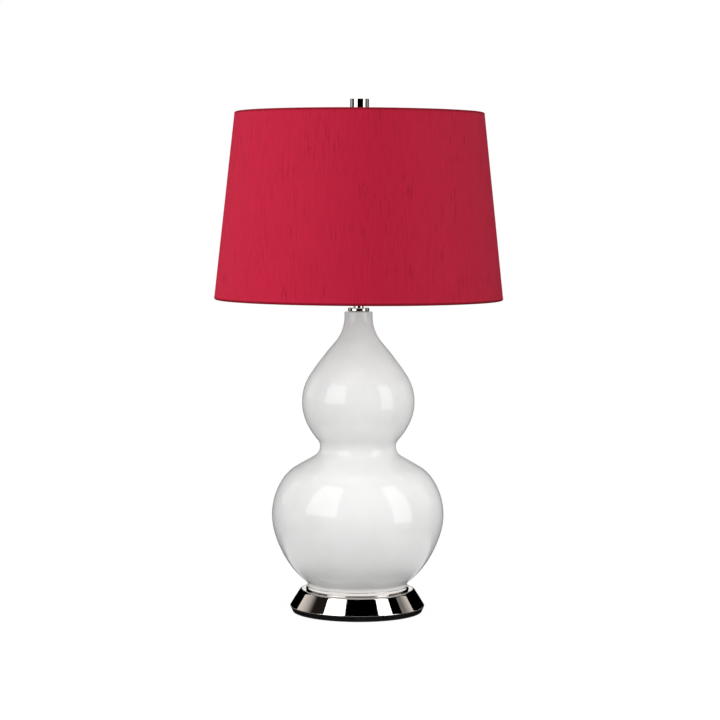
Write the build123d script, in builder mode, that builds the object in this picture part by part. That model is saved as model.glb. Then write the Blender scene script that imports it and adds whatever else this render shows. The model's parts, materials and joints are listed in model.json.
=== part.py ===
# Double gourd table lamp: a glazed ceramic body on a spun metal foot, a lampholder with a
# detachable harp, and a tapered drum shade held down by a screw finial.
# Millimetres, +Z up, origin at the centre of the felt pad's underside.
import os

from build123d import *

# Rod and fasteners
rod_r = 5.05            # threaded tube of nominal 10 mm
rod_bore_r = 3.7
rod_hole_r = 5.25       # clearance hole in whatever the rod passes
rod_bottom_z = 7.0
rod_stub = 3.5          # length of rod standing inside the socket cap
washer_r, washer_t = 12.0, 1.6
lock_nut_flats, lock_nut_h = 14.0, 6.0
saddle_nut_flats, saddle_nut_h = 14.0, 3.5
nut_chamfer = 0.5

# Foot
felt_r, felt_t = 85.4, 1.6
cover_r, cover_low_r, cover_t = 87.0, 86.0, 3.2
cover_rim_r, cover_rim_w, cover_rim_h, cover_round = 82.7, 4.0, 2.2, 0.5
shell_wall = 1.6
flat_z = 30.1
cone_corner = (74.7, flat_z)  # where the flat and the cone would meet (radius, height)
cone_low = (88.8, 8.0)        # the fold at the cone's widest line
fold_in_r = 87.0              # the same fold inside the wall
lip_r, lip_in_r = 87.4, 83.0
collar_in_r, collar_r, collar_top_z = 66.0, 67.6, 34.4
lip_round, cove_r, cone_edge_r, fold_round = 0.7, 1.6, 3.0, 1.0
seat_z = 27.8
step_r, step_low_r = 68.2, 66.6   # under the collar the wall's inside climbs between these
weight_r, weight_h, weight_draft, weight_edge = 60.0, 10.0, 4.0, 1.5
gasket_r, gasket_in_r, gasket_t = 65.0, 58.0, 1.0

# Cord bush in the back of the cone
bush_z = 15.0
bush_hole_r, bush_bore_r = 5.0, 3.5
bush_flange_r, bush_flange_t, bush_round = 7.0, 2.2, 1.2
bush_sag = 0.25               # how far the round wall falls away under the flat flange

# Ceramic body: points (radius, height) where one arc of the outline hands over to the next
glaze_wall = 5.0
foot_ring_r, foot_ring_in_r, foot_recess = 65.5, 57.0, 4.2
foot_round, foot_round_h, foot_bulge = 1.5, 2.0, 0.25
foot_top_z, foot_bulge_z = 36.4, 33.1
floor_t = 6.0
body_neck_r = 18.4
body_top_z = 395.9
neck_lip_r = 1.5
neck_bore_r = 11.0
floor_hole_r = 9.0
body_arcs = [
    (18.4, 389.0), (31.2, 355.0), (63.2, 313.1), (69.6, 254.0), (53.4, 227.7), (56.8, 206.0),
    (81.2, 191.6), (99.0, 174.6), (109.5, 104.8), (96.0, 73.2), (65.3, 38.3),
]

# Neck fittings
neck_cap_r, neck_cap_t, neck_cap_flat_r = 14.25, 5.1, 11.9
spigot_r, spigot_h = 10.7, 8.0
sleeve_r, sleeve_h, sleeve_edge = 6.65, 5.4, 0.5

# Harp
saddle_t, saddle_w, saddle_half, saddle_bend_r = 1.6, 12.0, 18.0, 4.0
leg_x = 30.0                  # harp legs stand this far from the axis
prong_w, prong_h, prong_elbow = 3.4, 10.0, 1.5
saddle_rise = 17.6            # from the strip's middle to the prongs' shoulders
wire_r = 1.7
ferrule_r, ferrule_bore_r, ferrule_h = 3.5, 1.95, 16.0
ferrule_gap, ferrule_edge = 0.3, 0.8
leg_h = 24.0                  # straight part of a leg above the prong
bow_flare_x, bow_flare_h = 40.0, 52.0    # places on the wire, heights above the prong
bow_max_x, bow_max_h = 57.0, 96.0
bow_haunch_x, bow_haunch_drop = 38.0, 23.4
bow_top_z = 641.4
crown_r, crown_t = 7.0, 3.4
rivet_r, rivet_head_r, rivet_head_t = 2.5, 3.8, 1.4
shoulder_r, shoulder_t = 6.5, 2.4
thread_r, thread_chamfer, stud_top_z = 3.1, 0.6, 655.5

# Lampholder, heights from its own underside
hub_r, hub_h = 8.2, 5.5
cap_r, cap_wall, cap_skirt = 18.0, 1.0, 3.2
shell_r, shell_t, shell_foot, shell_mouth = 16.95, 0.6, 15.5, 66.5
bead_r, bead_drop = 0.8, 7.0
liner_r, liner_t, liner_top, liner_inset = 16.25, 0.5, 65.5, 0.5
slot_w = 8.6
switch_r, switch_foot, switch_top = 14.8, 16.5, 35.5
pocket_w = 11.0
boss_r, boss_y, boss_length = 3.8, 17.3, 8.0
spindle_r, spindle_bore_r, spindle_h = 2.0, 2.08, 26.0
spindle_in_y, spindle_out_y, spindle_play = 5.0, 25.0, 0.2
knob_r, knob_y, knob_end_y, knob_edge = 4.8, 19.0, 31.0, 0.35
knob_flutes, flute_r, flute_out = 12, 0.8, 0.35
lamp_bore_r, lamp_wall, lamp_top = 13.2, 0.4, 62.5
contact_hole_r, contact_w, contact_t = 6.0, 5.0, 0.5
contact_pit = 5.3             # the tongue lies in a pit, its tip just under the shell's floor
contact_path = [(-4.5, 0.0), (3.0, 0.0), (4.4, 3.4), (-2.0, 4.6)]     # above the pit's floor
contact_bend_r = 0.7
terminal_x, terminal_z = 12.2, 25.5
terminal_head_r, terminal_head_t = 2.6, 1.8
terminal_shank_r, terminal_shank_h = 1.5, 6.0
set_screw_r, set_screw_z, set_screw_out = 1.5, 3.0, 1.2
screw_slot_w, screw_slot_t = 0.6, 0.8

# Shade
shade_top_r, shade_top_z = 162.7, 655.8
shade_low_r, shade_low_z = 189.2, 411.6
fabric_t, liner_sheet_t = 0.6, 0.5
ring_r = 1.45                 # radius of the shade wires
hem_tail = 9.0
notch_gap, notch_length = 0.5, 4.0
spider_r, spider_t, spider_hole_r = 12.0, 1.5, 3.5
spider_gap = 0.1              # play between the shade and the harp's shoulder
spider_arm_r, spider_arm_root = 1.4, 3.0
spider_arms = 3

# Finial
finial_gap = 0.1
finial_r, finial_top_z, finial_edge = 12.2, 672.9, 0.4
finial_foot_r, finial_foot_h = 8.0, 2.5
insert_r, insert_h, insert_bore_r = 4.5, 12.5, 3.2

# Worked-out heights
cover_top_z = felt_t + cover_t
shell_under_z = seat_z - shell_wall
weight_low_z = shell_under_z - weight_h
washer_low_z = weight_low_z - washer_t
lock_nut_low_z = washer_low_z - lock_nut_h
body_low_z = seat_z + gasket_t
neck_cap_top_z = body_top_z + neck_cap_t
saddle_low_z = neck_cap_top_z + sleeve_h
saddle_top_z = saddle_low_z + saddle_t
prong_low_z = saddle_low_z + saddle_t / 2 + saddle_rise
prong_top_z = prong_low_z + prong_h
holder_z = saddle_top_z + saddle_nut_h
rod_top_z = holder_z + hub_h + rod_stub
crown_top_z = bow_top_z + wire_r
spider_low_z = crown_top_z + shoulder_t + spider_gap
finial_low_z = spider_low_z + spider_t + finial_gap


def ring(outer_r, inner_r, low_z, height):
    """Add a plain ring with a flat top and bottom to the part being built."""
    with BuildSketch(Plane.XY.offset(low_z)) as band:
        Circle(outer_r)
        Circle(inner_r, mode=Mode.SUBTRACT)
    extrude(band.sketch, amount=height)


def finish_piece(builder, name):
    """Name a finished piece and write it as its own file."""
    builder.part.label = name
    export_step(builder.part, f"parts/{name}.step")
    print(f"{name}: {builder.part.volume:.1f} mm3")


os.makedirs("parts", exist_ok=True)

# ---- Foot ----

with BuildPart() as felt_pad:
    Cylinder(felt_r, felt_t, align=(Align.CENTER, Align.CENTER, Align.MIN))
finish_piece(felt_pad, "felt_pad")

with BuildPart() as bottom_cover:
    with BuildSketch(Plane.XY.offset(felt_t)):
        Circle(cover_low_r)
    with BuildSketch(Plane.XY.offset(cover_top_z)):
        Circle(cover_r)
    loft()
    fillet(bottom_cover.edges().group_by(Axis.Z)[0], radius=cover_round)
    # a raised rim centres the cover inside the shell's lip
    ring(cover_rim_r, cover_rim_r - cover_rim_w, cover_top_z, cover_rim_h)
finish_piece(bottom_cover, "bottom_cover")

# The spun shell: a flat seat, a raised collar round the body's foot, a flat, the cone, and a
# lower edge folded in over the cover. The section is drawn sharp, then its corners are rounded.
cone_dir = Vector(cone_low[0] - cone_corner[0], cone_low[1] - cone_corner[1]).normalized()
cone_inner_r = cone_corner[0] + shell_wall * cone_dir.Y
lip_top_z = cover_top_z + shell_wall
with BuildPart() as base_shell:
    with BuildSketch(Plane.XZ) as shell_section:
        with BuildLine():
            Polyline(
                (rod_hole_r, seat_z), (collar_in_r, seat_z), (collar_in_r, collar_top_z),
                (collar_r, collar_top_z), (collar_r, flat_z), cone_corner, cone_low,
                (lip_r, cover_top_z), (lip_in_r, cover_top_z), (lip_in_r, lip_top_z),
                (fold_in_r - shell_wall / 2, lip_top_z), (fold_in_r, cone_low[1]),
                (cone_inner_r, flat_z - shell_wall), (step_r, flat_z - shell_wall),
                (step_low_r, shell_under_z), (rod_hole_r, shell_under_z),
                close=True,
            )
        make_face()
        for corner, radius in (
            ((collar_in_r, collar_top_z), lip_round), ((collar_r, collar_top_z), lip_round),
            ((collar_r, flat_z), cove_r), (cone_corner, cone_edge_r), (cone_low, fold_round),
        ):
            fillet(shell_section.vertices().sort_by_distance(corner)[0], radius=radius)
    revolve(axis=Axis.Z)
    # hole for the cord bush, square to the cone at the back
    bush_at = cone_corner[0] + (flat_z - bush_z) * cone_dir.X / -cone_dir.Y
    bush_plane = Plane(
        origin=(0, bush_at, bush_z), x_dir=(1, 0, 0), z_dir=(0, -cone_dir.Y, cone_dir.X)
    )
    with BuildSketch(bush_plane):
        Circle(bush_hole_r)
    extrude(amount=4 * shell_wall, both=True, mode=Mode.SUBTRACT)
finish_piece(base_shell, "base_shell")

with BuildPart() as base_weight:
    with BuildSketch(Plane.XY.offset(weight_low_z)):
        Circle(weight_r)
    extrude(amount=weight_h, taper=weight_draft)
    fillet(base_weight.edges().group_by(Axis.Z)[0], radius=weight_edge)
    with Locations((0, 0, shell_under_z)):
        Hole(rod_hole_r, depth=weight_h)
finish_piece(base_weight, "base_weight")

with BuildPart() as base_washer:
    ring(washer_r, rod_hole_r, washer_low_z, washer_t)
finish_piece(base_washer, "base_washer")

with BuildPart() as base_lock_nut:
    with BuildSketch(Plane.XY.offset(lock_nut_low_z)):
        RegularPolygon(lock_nut_flats / 2, 6, major_radius=False)
        Circle(rod_r, mode=Mode.SUBTRACT)
    extrude(amount=lock_nut_h)
    chamfer(base_lock_nut.edges().filter_by(GeomType.LINE).group_by(Axis.Z)[0], length=nut_chamfer)
finish_piece(base_lock_nut, "base_lock_nut")

# A rubber bush: outer flange with a rounded edge, neck through the wall, inner flange.
bush_wall = shell_wall + bush_sag
bush_section = Plane(origin=bush_plane.origin, x_dir=(1, 0, 0), z_dir=bush_plane.y_dir * -1)
with BuildPart() as cord_bush:
    with BuildSketch(bush_section):
        with BuildLine():
            Polyline(
                (bush_bore_r, bush_flange_t), (bush_bore_r, -bush_wall - bush_flange_t),
                (bush_flange_r, -bush_wall - bush_flange_t), (bush_flange_r, -bush_wall),
                (bush_hole_r, -bush_wall), (bush_hole_r, 0), (bush_flange_r, 0),
                (bush_flange_r, bush_flange_t - bush_round),
            )
            TangentArc(
                (bush_flange_r, bush_flange_t - bush_round), (bush_flange_r - bush_round, bush_flange_t),
                tangent=(0, 1),
            )
            Line((bush_flange_r - bush_round, bush_flange_t), (bush_bore_r, bush_flange_t))
        make_face()
    revolve(axis=Axis(bush_plane.origin, bush_plane.z_dir))
finish_piece(cord_bush, "cord_bush")

with BuildPart() as foot_gasket:
    ring(gasket_r, gasket_in_r, seat_z, gasket_t)
finish_piece(foot_gasket, "foot_gasket")

# ---- Ceramic body ----

# The outline is a chain of tangent arcs from the neck down to the foot. Its mirror image makes
# the full silhouette, which is shrunk by the wall to leave the hollow of the slip casting.
with BuildPart() as gourd_body:
    with BuildSketch(Plane.XZ):
        with BuildLine():
            Line((0, body_top_z), (body_neck_r - neck_lip_r, body_top_z))
            TangentArc(
                (body_neck_r - neck_lip_r, body_top_z),
                (body_neck_r, body_top_z - neck_lip_r),
                tangent=(1, 0),
            )
            arc = Line((body_neck_r, body_top_z - neck_lip_r), body_arcs[0])
            for start, end in zip(body_arcs, body_arcs[1:]):
                arc = TangentArc(start, end, tangent=arc % 1)
            foot_top = (foot_ring_r, foot_top_z)
            foot_mid = (foot_ring_r + foot_bulge, foot_bulge_z)
            foot_low = (foot_ring_r, body_low_z + foot_round_h)
            foot_face = (foot_ring_r - foot_round, body_low_z)
            Line(body_arcs[-1], foot_top)
            ThreePointArc(foot_top, foot_mid, foot_low)
            TangentArc(foot_low, foot_face, tangent=(0, -1))
            Polyline(foot_face, (0, body_low_z), (0, body_top_z))
        make_face()
        mirror(about=Plane.YZ)
        offset(amount=-glaze_wall, kind=Kind.INTERSECTION, mode=Mode.SUBTRACT)
        split(bisect_by=Plane.YZ)
    revolve(axis=Axis.Z)
    floor_low_z = body_low_z + foot_recess
    with BuildSketch(Plane.XY.offset(body_low_z + foot_recess / 2)):
        Circle(foot_ring_r - glaze_wall / 2)
    extrude(amount=floor_low_z + floor_t - body_low_z - foot_recess / 2)
    with BuildSketch(Plane.XY.offset(body_low_z)):
        Circle(foot_ring_in_r)
    extrude(amount=foot_recess, mode=Mode.SUBTRACT)
    with BuildSketch(Plane.XY.offset(body_low_z)):
        Circle(floor_hole_r)
    extrude(amount=3 * floor_t, mode=Mode.SUBTRACT)
    with BuildSketch(Plane.XY.offset(body_top_z)):
        Circle(neck_bore_r)
    extrude(amount=-2 * glaze_wall, mode=Mode.SUBTRACT)
finish_piece(gourd_body, "gourd_body")

# ---- Rod and neck fittings ----

with BuildPart() as tie_rod:
    ring(rod_r, rod_bore_r, rod_bottom_z, rod_top_z - rod_bottom_z)
finish_piece(tie_rod, "tie_rod")

with BuildPart() as neck_cap:
    with BuildSketch(Plane.XZ):
        with BuildLine():
            Polyline(
                (neck_cap_flat_r, neck_cap_top_z), (rod_hole_r, neck_cap_top_z),
                (rod_hole_r, body_top_z - spigot_h), (spigot_r, body_top_z - spigot_h),
                (spigot_r, body_top_z), (neck_cap_flat_r, body_top_z),
            )
            ThreePointArc(
                (neck_cap_flat_r, body_top_z),
                (neck_cap_r, body_top_z + neck_cap_t / 2),
                (neck_cap_flat_r, neck_cap_top_z),
            )
        make_face()
    revolve(axis=Axis.Z)
finish_piece(neck_cap, "neck_cap")

with BuildPart() as stem_sleeve:
    ring(sleeve_r, rod_hole_r, neck_cap_top_z, sleeve_h)
    fillet(stem_sleeve.edges().group_by(Axis.Z)[-1].sort_by(SortBy.RADIUS)[-1], radius=sleeve_edge)
finish_piece(stem_sleeve, "stem_sleeve")

with BuildPart() as saddle_nut:
    with BuildSketch(Plane.XY.offset(saddle_top_z)):
        RegularPolygon(saddle_nut_flats / 2, 6, major_radius=False)
        Circle(rod_r, mode=Mode.SUBTRACT)
    extrude(amount=saddle_nut_h)
    chamfer(saddle_nut.edges().filter_by(GeomType.LINE).group_by(Axis.Z)[-1], length=nut_chamfer)
finish_piece(saddle_nut, "saddle_nut")

# ---- Harp ----

# A bent strip: flat under the nut, arms rising outwards, prongs standing in the ferrules.
saddle_mid_z = saddle_low_z + saddle_t / 2
with BuildPart() as harp_saddle:
    with BuildSketch(Plane.XZ):
        with BuildLine():
            FilletPolyline(
                (-leg_x, prong_top_z), (-leg_x, prong_low_z - prong_elbow), (-saddle_half, saddle_mid_z),
                (saddle_half, saddle_mid_z), (leg_x, prong_low_z - prong_elbow), (leg_x, prong_top_z),
                radius=saddle_bend_r,
            )
        trace(line_width=saddle_t)
    extrude(amount=saddle_w / 2, both=True)
    # the arms narrow to prongs
    with BuildSketch(Plane.XY.offset(prong_low_z)):
        with GridLocations(2 * leg_x, saddle_w + prong_w, 2, 2):
            Rectangle(4 * saddle_t, saddle_w)
    extrude(amount=2 * prong_h, mode=Mode.SUBTRACT)
    with Locations((0, 0, saddle_top_z)):
        Hole(rod_hole_r, depth=saddle_t)
finish_piece(harp_saddle, "harp_saddle")

# One leg and shoulder of the bow, mirrored; both run into the crown plate.
with BuildPart() as harp_bow:
    with BuildLine(Plane.XZ) as bow:
        leg = Line((leg_x, prong_top_z), (leg_x, prong_top_z + leg_h))
        flare = TangentArc(leg @ 1, (bow_flare_x, prong_top_z + bow_flare_h), tangent=leg % 1)
        side = TangentArc(flare @ 1, (bow_max_x, prong_top_z + bow_max_h), tangent=flare % 1)
        haunch = TangentArc(side @ 1, (bow_haunch_x, bow_top_z - bow_haunch_drop), tangent=side % 1)
        TangentArc(haunch @ 1, (crown_r - 1.0, bow_top_z), tangent=haunch % 1)
    with BuildSketch(Plane.XY.offset(prong_top_z)):
        with Locations((leg_x, 0)):
            Circle(wire_r)
    sweep(path=bow.line)
    mirror(about=Plane.YZ)
    with BuildSketch(Plane.XY.offset(crown_top_z)):
        Circle(crown_r)
    extrude(amount=-crown_t)
    with Locations((0, 0, crown_top_z)):
        Hole(rivet_r, depth=crown_t)
finish_piece(harp_bow, "harp_bow")

with BuildPart() as harp_stud:
    with BuildSketch(Plane.XZ):
        with BuildLine():
            rivet_top_z = crown_top_z - crown_t
            Polyline(
                (0, rivet_top_z - rivet_head_t), (rivet_head_r, rivet_top_z - rivet_head_t),
                (rivet_head_r, rivet_top_z), (rivet_r, rivet_top_z), (rivet_r, crown_top_z),
                (shoulder_r, crown_top_z), (shoulder_r, crown_top_z + shoulder_t),
                (thread_r, crown_top_z + shoulder_t), (thread_r, stud_top_z - thread_chamfer),
                (thread_r - thread_chamfer, stud_top_z), (0, stud_top_z),
                close=True,
            )
        make_face()
    revolve(axis=Axis.Z)
finish_piece(harp_stud, "harp_stud")

for side_name, side_x in (("left", -leg_x), ("right", leg_x)):
    with BuildPart() as harp_ferrule:
        with BuildSketch(Plane.XY.offset(prong_low_z + ferrule_gap)):
            with Locations((side_x, 0)):
                Circle(ferrule_r)
                Circle(ferrule_bore_r, mode=Mode.SUBTRACT)
        extrude(amount=ferrule_h)
        rims = harp_ferrule.edges().filter_by(GeomType.CIRCLE).group_by(SortBy.RADIUS)[-1]
        fillet(rims, radius=ferrule_edge)
    finish_piece(harp_ferrule, f"harp_ferrule_{side_name}")

# ---- Lampholder ----

with BuildPart() as socket_cap:
    with BuildSketch(Plane.XZ):
        dome_r = cap_r - hub_r
        dome_z = holder_z + hub_h + dome_r
        with BuildLine():
            Polyline(
                (rod_r, holder_z + hub_h + cap_wall), (rod_r, holder_z), (hub_r, holder_z),
                (hub_r, holder_z + hub_h),
            )
            TangentArc((hub_r, holder_z + hub_h), (cap_r, dome_z), tangent=(1, 0))
            Polyline(
                (cap_r, dome_z), (cap_r, dome_z + cap_skirt),
                (cap_r - cap_wall, dome_z + cap_skirt), (cap_r - cap_wall, dome_z),
            )
            TangentArc(
                (cap_r - cap_wall, dome_z), (hub_r, holder_z + hub_h + cap_wall), tangent=(0, -1)
            )
            Line((hub_r, holder_z + hub_h + cap_wall), (rod_r, holder_z + hub_h + cap_wall))
        make_face()
    revolve(axis=Axis.Z)
    with BuildSketch(Plane.YZ.offset(rod_r - 1.0)):
        with Locations((0, holder_z + set_screw_z)):
            Circle(set_screw_r)
    extrude(amount=hub_r, mode=Mode.SUBTRACT)
finish_piece(socket_cap, "socket_cap")

with BuildPart() as socket_set_screw:
    with BuildSketch(Plane.YZ.offset(rod_r)):
        with Locations((0, holder_z + set_screw_z)):
            Circle(set_screw_r)
    extrude(amount=hub_r - rod_r + set_screw_out)
    with BuildSketch(Plane.YZ.offset(hub_r + set_screw_out)):
        with Locations((0, holder_z + set_screw_z)):
            Rectangle(2 * set_screw_r, screw_slot_w)
    extrude(amount=-screw_slot_t, mode=Mode.SUBTRACT)
finish_piece(socket_set_screw, "socket_set_screw")


def cut_spindle_slot():
    """Cut the open-ended slot that lets a tube pass down over the spindle's boss in front."""
    with BuildSketch(Plane.XZ) as slot:
        with Locations((0, holder_z + spindle_h)):
            Circle(slot_w / 2)
        with Locations((0, holder_z + spindle_h / 2)):
            Rectangle(slot_w, spindle_h)
    extrude(slot.sketch, amount=2 * shell_r, mode=Mode.SUBTRACT)


with BuildPart() as socket_shell:
    with BuildSketch(Plane.XZ):
        with BuildLine():
            bead_z = holder_z + shell_mouth - bead_drop
            Polyline(
                (shell_r, bead_z - bead_r), (shell_r, holder_z + shell_foot),
                (shell_r - shell_t, holder_z + shell_foot), (shell_r - shell_t, holder_z + shell_mouth),
                (shell_r, holder_z + shell_mouth), (shell_r, bead_z + bead_r),
            )
            ThreePointArc(
                (shell_r, bead_z + bead_r), (shell_r + bead_r, bead_z), (shell_r, bead_z - bead_r)
            )
        make_face()
    revolve(axis=Axis.Z)
    cut_spindle_slot()
finish_piece(socket_shell, "socket_shell")

with BuildPart() as socket_liner:
    liner_foot = shell_foot + liner_inset
    ring(liner_r, liner_r - liner_t, holder_z + liner_foot, liner_top - liner_foot)
    cut_spindle_slot()
finish_piece(socket_liner, "socket_liner")

# Moulded switch block: a boss for the spindle in front, a flat pocket for a terminal each side.
with BuildPart() as switch_body:
    with BuildSketch(Plane.XY.offset(holder_z + switch_foot)):
        Circle(switch_r)
        with GridLocations(2 * terminal_x + 2 * switch_r, 0, 2, 1):
            Rectangle(2 * switch_r, pocket_w, mode=Mode.SUBTRACT)
    extrude(amount=switch_top - switch_foot)
    with BuildSketch(Plane.XZ.offset(boss_y)):
        with Locations((0, holder_z + spindle_h)):
            Circle(boss_r)
    extrude(amount=-boss_length)
    with BuildSketch(Plane.XZ.offset(boss_y)):
        with Locations((0, holder_z + spindle_h)):
            Circle(spindle_bore_r)
    extrude(amount=spindle_in_y - boss_y - spindle_play, mode=Mode.SUBTRACT)
    with BuildSketch(Plane.YZ):
        with Locations((0, holder_z + terminal_z)):
            Circle(terminal_shank_r)
    extrude(amount=switch_r, both=True, mode=Mode.SUBTRACT)
    with BuildSketch(Plane.YZ):
        with Locations((0, holder_z + terminal_z)):
            Circle(terminal_shank_r)
    extrude(amount=terminal_x - terminal_shank_h, both=True)
    with Locations((0, 0, holder_z + switch_top)):
        Hole(contact_hole_r, depth=contact_pit)
finish_piece(switch_body, "switch_body")

with BuildPart() as terminal_screws:
    for turn in (0, 180):
        face = Plane.YZ.rotated((0, turn, 0)).offset(terminal_x)
        with BuildSketch(face):
            with Locations(face.to_local_coords(Vector(0, 0, holder_z + terminal_z))):
                Circle(terminal_head_r)
        extrude(amount=terminal_head_t)
        with BuildSketch(face):
            with Locations(face.to_local_coords(Vector(0, 0, holder_z + terminal_z))):
                Circle(terminal_shank_r)
        extrude(amount=-terminal_shank_h)
finish_piece(terminal_screws, "terminal_screws")

with BuildPart() as screw_shell:
    lamp_low_z = holder_z + switch_top
    with BuildSketch(Plane.XY.offset(lamp_low_z)):
        Circle(lamp_bore_r + lamp_wall)
        Circle(contact_hole_r, mode=Mode.SUBTRACT)
    extrude(amount=2 * lamp_wall)
    ring(lamp_bore_r + lamp_wall, lamp_bore_r, lamp_low_z, lamp_top - switch_top)
finish_piece(screw_shell, "screw_shell")

with BuildPart() as centre_contact:
    with BuildSketch(Plane.XZ):
        with BuildLine():
            contact_z = lamp_low_z - contact_pit + contact_t / 2
            FilletPolyline([(x, contact_z + rise) for x, rise in contact_path], radius=contact_bend_r)
        trace(line_width=contact_t)
    extrude(amount=contact_w / 2, both=True)
finish_piece(centre_contact, "centre_contact")

with BuildPart() as switch_spindle:
    with BuildSketch(Plane.XZ.offset(spindle_in_y)):
        with Locations((0, holder_z + spindle_h)):
            Circle(spindle_r)
    extrude(amount=spindle_out_y - spindle_in_y)
finish_piece(switch_spindle, "switch_spindle")

with BuildPart() as switch_knob:
    with BuildSketch(Plane.XZ.offset(knob_y)):
        with Locations((0, holder_z + spindle_h)):
            Circle(knob_r)
            with PolarLocations(knob_r + flute_out, knob_flutes):
                Circle(flute_r, mode=Mode.SUBTRACT)
    extrude(amount=knob_end_y - knob_y)
    fillet(switch_knob.faces().sort_by(Axis.Y)[0].edges(), radius=knob_edge)
    with BuildSketch(Plane.XZ.offset(knob_y)):
        with Locations((0, holder_z + spindle_h)):
            Circle(spindle_r)
    extrude(amount=spindle_out_y - knob_y, mode=Mode.SUBTRACT)
finish_piece(switch_knob, "switch_knob")

# ---- Shade ----

# Directions in the section of the cone: up along the wall, and out of it.
wall_up = Vector(shade_top_r - shade_low_r, shade_top_z - shade_low_z).normalized()
wall_out = Vector(wall_up.Y, -wall_up.X)
fold_r = ring_r + liner_sheet_t / 2 + fabric_t / 2     # fold of the fabric's mid-line round a wire
outer_low = Vector(shade_low_r, shade_low_z) - wall_out * (fabric_t / 2)
outer_top = Vector(shade_top_r, shade_top_z) - wall_out * (fabric_t / 2)
fold_low = outer_low - wall_out * fold_r + wall_up * (fold_r + fabric_t / 2)
fold_top = outer_top - wall_out * fold_r - wall_up * (fold_r + fabric_t / 2)
ring_low = fold_low - wall_out * (liner_sheet_t / 2)
ring_top = fold_top - wall_out * (liner_sheet_t / 2)

# Cover: the fabric's section is one strip that folds in round each wire and ends in a tail.
with BuildPart() as shade_fabric:
    with BuildSketch(Plane.XZ):
        with BuildLine():
            tail_low = fold_low - wall_out * fold_r + wall_up * hem_tail
            tail_top = fold_top - wall_out * fold_r - wall_up * hem_tail
            Line(tail_low, fold_low - wall_out * fold_r)
            ThreePointArc(
                fold_low - wall_out * fold_r, fold_low - wall_up * fold_r, fold_low + wall_out * fold_r
            )
            Line(fold_low + wall_out * fold_r, fold_top + wall_out * fold_r)
            ThreePointArc(
                fold_top + wall_out * fold_r, fold_top + wall_up * fold_r, fold_top - wall_out * fold_r
            )
            Line(fold_top - wall_out * fold_r, tail_top)
        trace(line_width=fabric_t)
    revolve(axis=Axis.Z)
    # the upper hem is notched where the fitter's arms come in to the wire
    with BuildSketch(Plane.XY.offset(ring_top.Y + spider_arm_r + notch_gap / 2)):
        with PolarLocations(tail_top.X - fabric_t, spider_arms, start_angle=90):
            Rectangle(notch_length, 2 * (spider_arm_r + notch_gap))
    extrude(amount=-2 * hem_tail, mode=Mode.SUBTRACT)
finish_piece(shade_fabric, "shade_fabric")

with BuildPart() as shade_liner:
    liner_in = wall_out * ring_r
    liner_out = wall_out * (ring_r + liner_sheet_t)
    with BuildSketch(Plane.XZ):
        with BuildLine():
            Polyline(
                ring_low + liner_in, ring_low + liner_out, ring_top + liner_out, ring_top + liner_in,
                close=True,
            )
        make_face()
    revolve(axis=Axis.Z)
finish_piece(shade_liner, "shade_liner")

with BuildPart() as shade_bottom_ring:
    with Locations((0, 0, ring_low.Y)):
        Torus(ring_low.X, ring_r)
finish_piece(shade_bottom_ring, "shade_bottom_ring")

with BuildPart() as shade_top_ring:
    with Locations((0, 0, ring_top.Y)):
        Torus(ring_top.X, ring_r)
finish_piece(shade_top_ring, "shade_top_ring")

# Centre washer and three arms; each arm's end is welded into the top wire.
with BuildPart() as shade_fitter:
    ring(spider_r, spider_hole_r, spider_low_z, spider_t)
    washer_mid_z = spider_low_z + spider_t / 2
    for arm in range(spider_arms):
        heading = 90 + arm * 360 / spider_arms
        with BuildLine(Plane.XZ.rotated((0, 0, heading))) as spoke:
            Line((spider_r - spider_arm_root, washer_mid_z), (ring_top.X - ring_r / 2, ring_top.Y))
        with BuildSketch(Plane(origin=spoke.line @ 0, z_dir=spoke.line % 0)):
            Circle(spider_arm_r)
        sweep(path=spoke.line)
finish_piece(shade_fitter, "shade_fitter")

# ---- Finial ----

with BuildPart() as finial_insert:
    ring(insert_r, insert_bore_r, finial_low_z, insert_h)
finish_piece(finial_insert, "finial_insert")

with BuildPart() as finial_cap:
    with BuildSketch(Plane.XY.offset(finial_low_z)):
        Circle(finial_foot_r)
    extrude(amount=finial_foot_h)
    drum_low_z = finial_low_z + finial_foot_h
    with BuildSketch(Plane.XY.offset(drum_low_z)):
        Circle(finial_r)
    extrude(amount=finial_top_z - drum_low_z)
    rims = finial_cap.edges().filter_by(GeomType.CIRCLE).group_by(SortBy.RADIUS)[-1]
    fillet(rims, radius=finial_edge)
    with BuildSketch(Plane.XY.offset(finial_low_z)):
        Circle(insert_r)
    extrude(amount=insert_h, mode=Mode.SUBTRACT)
finish_piece(finial_cap, "finial_cap")
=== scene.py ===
import json
import math

import bpy
import numpy as np
from mathutils import Matrix, Quaternion, Vector


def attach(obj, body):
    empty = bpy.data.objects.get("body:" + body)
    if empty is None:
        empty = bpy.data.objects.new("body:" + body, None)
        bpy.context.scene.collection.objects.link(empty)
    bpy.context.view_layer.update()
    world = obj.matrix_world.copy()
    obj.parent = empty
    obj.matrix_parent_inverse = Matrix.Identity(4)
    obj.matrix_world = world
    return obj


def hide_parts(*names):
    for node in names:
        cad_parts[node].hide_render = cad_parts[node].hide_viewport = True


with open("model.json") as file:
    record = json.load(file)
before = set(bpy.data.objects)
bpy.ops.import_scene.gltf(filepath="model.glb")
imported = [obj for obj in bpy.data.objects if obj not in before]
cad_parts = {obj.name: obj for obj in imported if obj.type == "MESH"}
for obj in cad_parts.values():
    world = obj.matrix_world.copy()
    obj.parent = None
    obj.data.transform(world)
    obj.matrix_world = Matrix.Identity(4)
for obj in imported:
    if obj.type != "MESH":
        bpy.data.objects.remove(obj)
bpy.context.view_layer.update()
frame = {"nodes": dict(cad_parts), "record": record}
scene = bpy.context.scene
scene.view_settings.view_transform = "Standard"
mm = 0.001
print("frame loaded:", len(frame["nodes"]), "nodes")


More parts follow.
